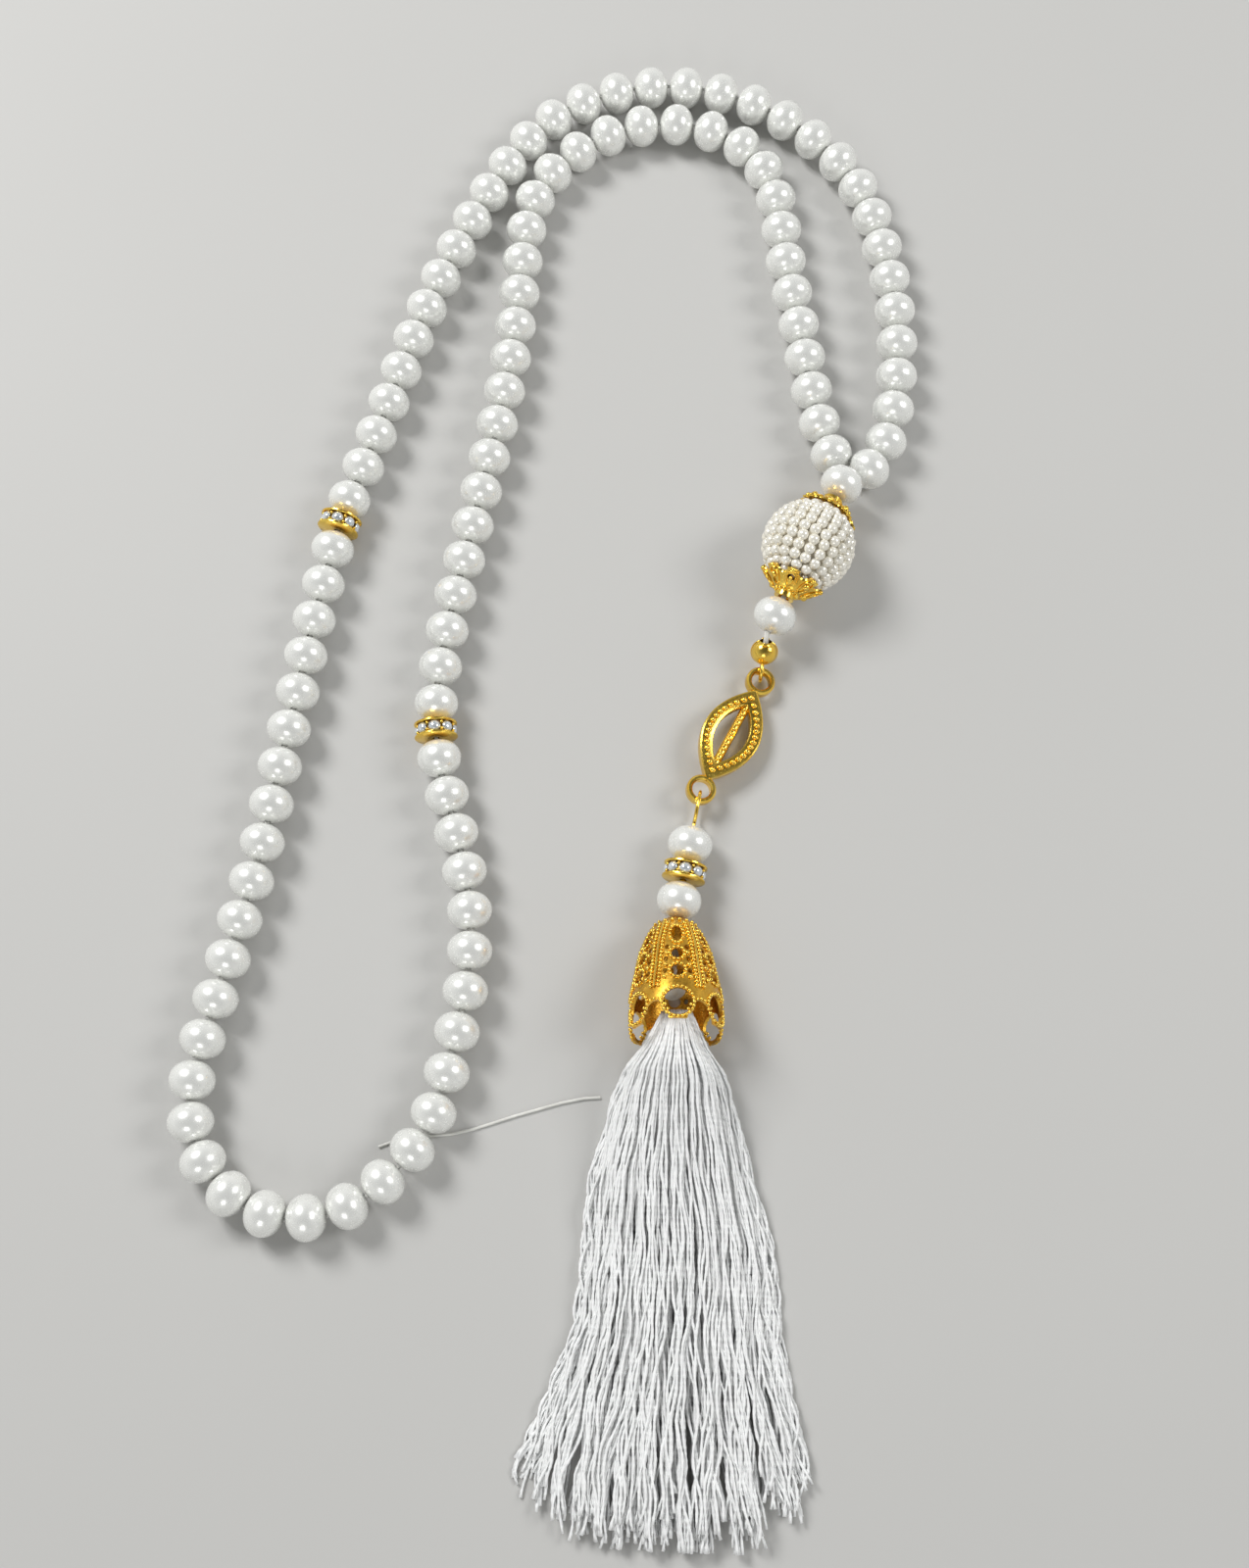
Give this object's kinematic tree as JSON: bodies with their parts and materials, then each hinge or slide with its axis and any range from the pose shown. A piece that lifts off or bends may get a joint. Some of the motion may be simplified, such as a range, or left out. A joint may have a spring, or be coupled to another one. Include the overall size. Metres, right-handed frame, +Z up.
{
  "type": "misbaha prayer beads",
  "caption": "Closed string of glass pearls with stone-set dividers, a seed-pearl ball between petal caps, a gilt leaf charm, a filigree cone and a long thread tassel.",
  "frame": {"origin": "on the table, under the middle of the bounding box", "axes": "+Y from the tassel towards the arch of the string, +X towards the pendant's side, +Z up from the table"},
  "size_m": [0.1292, 0.278, 0.0175],
  "materials": {
    "pearl_glaze": "glossy pearl coating over glass, cool white with a soft lustre",
    "seed_pearl": "glossy cream seed pearls",
    "polished_gold": "polished gold plating",
    "rhinestone": "foiled faceted glass in a dark channel",
    "string": "white twisted cord",
    "tassel_silk": "white glossy twisted rayon"
  },
  "bodies": {
    "arch": {"pearls_01_outer_arch": "pearl_glaze", "pearls_02_outer_arch": "pearl_glaze", "pearls_03_outer_arch": "pearl_glaze", "pearls_04_outer_arch": "pearl_glaze", "pearls_05_outer_arch": "pearl_glaze", "pearls_06_outer_arch": "pearl_glaze", "pearls_07_outer_arch": "pearl_glaze", "string_outer_arch": "string", "pearls_23_inner_arch": "pearl_glaze", "pearls_24_inner_arch": "pearl_glaze", "pearls_25_inner_arch": "pearl_glaze", "pearls_26_inner_arch": "pearl_glaze", "pearls_27_inner_arch": "pearl_glaze", "string_inner_arch": "string"},
    "left_divider": {"left_divider_channel": "polished_gold", "left_divider_stones": "rhinestone"},
    "outer_side": {"pearls_08_outer_side": "pearl_glaze", "pearls_09_outer_side": "pearl_glaze", "pearls_10_outer_side": "pearl_glaze", "string_outer_side": "string"},
    "inner_side": {"pearls_20_inner_side": "pearl_glaze", "pearls_21_inner_side": "pearl_glaze", "pearls_22_inner_side": "pearl_glaze", "string_inner_side": "string"},
    "lower_string": {"pearls_11_lower_left": "pearl_glaze", "string_lower_left": "string", "pearls_17_lower_right": "pearl_glaze", "pearls_18_lower_right": "pearl_glaze", "pearls_19_lower_inner": "pearl_glaze", "string_lower_right": "string"},
    "right_divider": {"right_divider_channel": "polished_gold", "right_divider_stones": "rhinestone"},
    "left_drop": {"pearls_12_left_drop": "pearl_glaze", "string_left_drop": "string"},
    "right_drop": {"pearls_16_right_drop": "pearl_glaze", "string_right_drop": "string"},
    "toe": {"pearls_13_toe": "pearl_glaze", "pearls_14_toe": "pearl_glaze", "pearls_15_toe": "pearl_glaze", "string_toe": "string", "stray_thread": "tassel_silk"},
    "junction": {"junction_pearl": "pearl_glaze"},
    "pendant": {"pendant_string": "string", "knot_cover": "polished_gold"},
    "upper_cap": {"upper_cap": "polished_gold"},
    "ball": {"pearl_ball": "seed_pearl"},
    "lower_cap": {"lower_cap": "polished_gold"},
    "imam_pearl": {"imam_pearl": "pearl_glaze"},
    "charm": {"leaf_charm": "polished_gold"},
    "pin": {"eye_pin": "polished_gold"},
    "pin_pearl_upper": {"pin_pearl_upper": "pearl_glaze"},
    "pin_divider": {"pin_divider_channel": "polished_gold", "pin_divider_stones": "rhinestone"},
    "pin_pearl_lower": {"pin_pearl_lower": "pearl_glaze"},
    "cone": {"filigree_cone": "polished_gold"},
    "tassel": {"tassel_head": "tassel_silk", "tassel_hank": "tassel_silk"}
  },
  "joints": [
    {"name": "bead_loop_sway", "type": "hinge", "parent": "arch", "child": "outer_side", "pos_m": [-0.04466, 0.03321, 0.004], "axis": [0, 0, 1], "range_deg": [-14, 0]},
    {"name": "bead_loop_level", "type": "hinge", "parent": "outer_side", "child": "lower_string", "pos_m": [-0.05321, -0.03101, 0.004], "axis": [0, 0, 1], "range_deg": [0, 14]},
    {"name": "inner_side_sway", "type": "hinge", "parent": "arch", "child": "inner_side", "pos_m": [-0.01356, 0.08214, 0.004], "axis": [0, 0, 1], "range_deg": [-14, 0]},
    {"name": "bead_toe_sway", "type": "hinge", "parent": "lower_string", "child": "left_drop", "pos_m": [-0.05593, -0.04515, 0.004], "axis": [0, 0, 1], "range_deg": [-14, 0]},
    {"name": "bead_toe_level", "type": "hinge", "parent": "left_drop", "child": "toe", "pos_m": [-0.06023, -0.06632, 0.004], "axis": [0, 0, 1], "range_deg": [0, 14]},
    {"name": "right_drop_sway", "type": "hinge", "parent": "lower_string", "child": "right_drop", "pos_m": [-0.0146, -0.04895, 0.004], "axis": [0, 0, 1], "range_deg": [-14, 0]},
    {"name": "pendant_swing", "type": "hinge", "parent": "arch", "child": "junction", "pos_m": [0.04949, 0.04563, 0.0074], "axis": [0, 0, 1], "range_deg": [0, 18]},
    {"name": "pendant_lift", "type": "hinge", "parent": "junction", "child": "pendant", "pos_m": [0.04797, 0.04238, 0.00774], "axis": [-0.9063, 0.4226, 0], "range_deg": [0, 15]},
    {"name": "charm_swing", "type": "hinge", "parent": "pendant", "child": "charm", "pos_m": [0.03531, 0.00736, 0.00245], "axis": [0, 0, 1], "range_deg": [0, 20]},
    {"name": "drop_lift", "type": "hinge", "parent": "charm", "child": "pin", "pos_m": [0.0246, -0.01652, 0.00383], "axis": [-0.9877, 0.1564, 0], "range_deg": [0, 25]},
    {"name": "fringe_swing", "type": "hinge", "parent": "pin", "child": "tassel", "pos_m": [0.01972, -0.04731, 0.00492], "axis": [0, 0, 1], "range_deg": [-5, 5]},
    {"name": "spin_upper_cap", "type": "hinge", "parent": "pendant", "child": "upper_cap", "pos_m": [0.0479, 0.04222, 0.00776], "axis": [-0.4207, -0.9023, 0.0944], "continuous": true},
    {"name": "spin_ball", "type": "hinge", "parent": "pendant", "child": "ball", "pos_m": [0.04325, 0.03224, 0.0088], "axis": [-0.4067, -0.9135, 0], "continuous": true},
    {"name": "spin_lower_cap", "type": "hinge", "parent": "pendant", "child": "lower_cap", "pos_m": [0.03894, 0.0221, 0.00776], "axis": [-0.389, -0.9164, -0.0943], "continuous": true},
    {"name": "spin_imam_pearl", "type": "hinge", "parent": "pendant", "child": "imam_pearl", "pos_m": [0.03748, 0.01864, 0.0074], "axis": [-0.389, -0.9164, -0.0943], "continuous": true},
    {"name": "spin_pin_pearl_upper", "type": "hinge", "parent": "pin", "child": "pin_pearl_upper", "pos_m": [0.02333, -0.02455, 0.00411], "axis": [-0.1563, -0.9871, 0.0349], "continuous": true},
    {"name": "spin_pin_divider", "type": "hinge", "parent": "pin", "child": "pin_divider", "pos_m": [0.0225, -0.02975, 0.0043], "axis": [-0.1563, -0.9871, 0.0349], "continuous": true},
    {"name": "spin_pin_pearl_lower", "type": "hinge", "parent": "pin", "child": "pin_pearl_lower", "pos_m": [0.02168, -0.03496, 0.00448], "axis": [-0.1563, -0.9871, 0.0349], "continuous": true},
    {"name": "spin_cone", "type": "hinge", "parent": "pin", "child": "cone", "pos_m": [0.02109, -0.03868, 0.00461], "axis": [0.0341, -0.9755, 0.2174], "continuous": true},
    {"name": "spin_left_divider", "type": "hinge", "parent": "arch", "child": "left_divider", "pos_m": [-0.04429, 0.03484, 0.004], "axis": [-0.2208, -0.9753, 0], "continuous": true},
    {"name": "spin_right_divider", "type": "hinge", "parent": "lower_string", "child": "right_divider", "pos_m": [-0.02339, -0.00521, 0.004], "axis": [-0.1264, 0.992, 0], "continuous": true}
  ],
  "couplings": [
    {"joint": "bead_loop_level", "follows": "bead_loop_sway", "ratio": -1},
    {"joint": "inner_side_sway", "follows": "bead_loop_sway", "ratio": 1},
    {"joint": "bead_toe_level", "follows": "bead_toe_sway", "ratio": -1},
    {"joint": "right_drop_sway", "follows": "bead_toe_sway", "ratio": 1}
  ]
}
